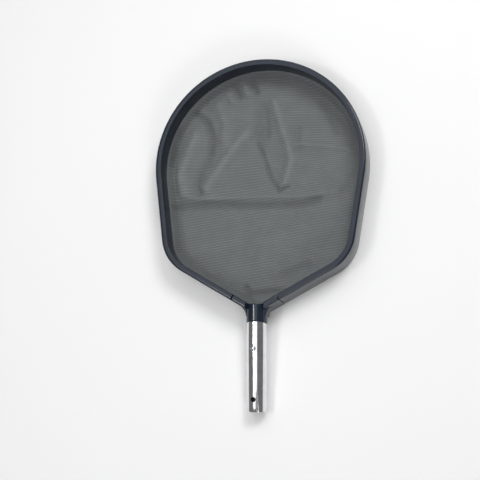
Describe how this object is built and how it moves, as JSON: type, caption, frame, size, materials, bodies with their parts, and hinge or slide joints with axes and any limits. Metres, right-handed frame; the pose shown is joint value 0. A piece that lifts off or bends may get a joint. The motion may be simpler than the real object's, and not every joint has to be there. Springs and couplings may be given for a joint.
{
  "type": "leaf skimmer net",
  "caption": "Flat leaf skimmer with a deep rounded rim, a fine mesh bag, a forked yoke and a short handle tube with spring buttons for a telescopic pole.",
  "frame": {"origin": "middle of the whole skimmer's footprint, on the floor that it lies on with its open face up", "axes": "+Y from the handle towards the tip of the rim, +Z out of the open face, +X across the rim"},
  "size_m": [0.307, 0.5038, 0.045],
  "materials": {
    "rim_plastic": "dark slate navy moulded plastic with a satin gloss",
    "net_mesh": "fine grey ribbed nylon mesh",
    "hem_tape": "dark grey folded binding tape",
    "hem_cord": "off-white braided nylon cord",
    "tube_aluminium": "bright drawn aluminium",
    "spring_steel": "bare spring steel strip",
    "button_nickel": "bright nickel-plated steel",
    "screw_steel": "stainless steel"
  },
  "bodies": {
    "frame": {"rim_front_bezel": "rim_plastic", "rim_rear_channel": "rim_plastic", "yoke": "rim_plastic", "net_bag": "net_mesh", "net_hem": "hem_tape", "hem_cord": "hem_cord", "handle_tube": "tube_aluminium", "spring_clip": "spring_steel", "rim_screw_right_1": "screw_steel", "rim_screw_right_2": "screw_steel", "rim_screw_left_1": "screw_steel", "rim_screw_left_2": "screw_steel", "tube_screw_1": "screw_steel", "tube_screw_2": "screw_steel"},
    "button_front": {"snap_button_front": "button_nickel"},
    "button_rear": {"snap_button_rear": "button_nickel"}
  },
  "joints": [
    {"name": "front_button_press", "type": "slide", "parent": "frame", "child": "button_front", "axis": [0.1392, 0.1035, -0.9848], "range_m": [0, 0.003], "stiffness_N_per_m": 3000, "springref_m": -0.0015, "deforming": ["spring_clip"]},
    {"name": "rear_button_press", "type": "slide", "parent": "frame", "child": "button_rear", "axis": [-0.1392, -0.1035, 0.9848], "range_m": [0, 0.003], "stiffness_N_per_m": 3000, "springref_m": -0.0015, "deforming": ["spring_clip"]}
  ]
}
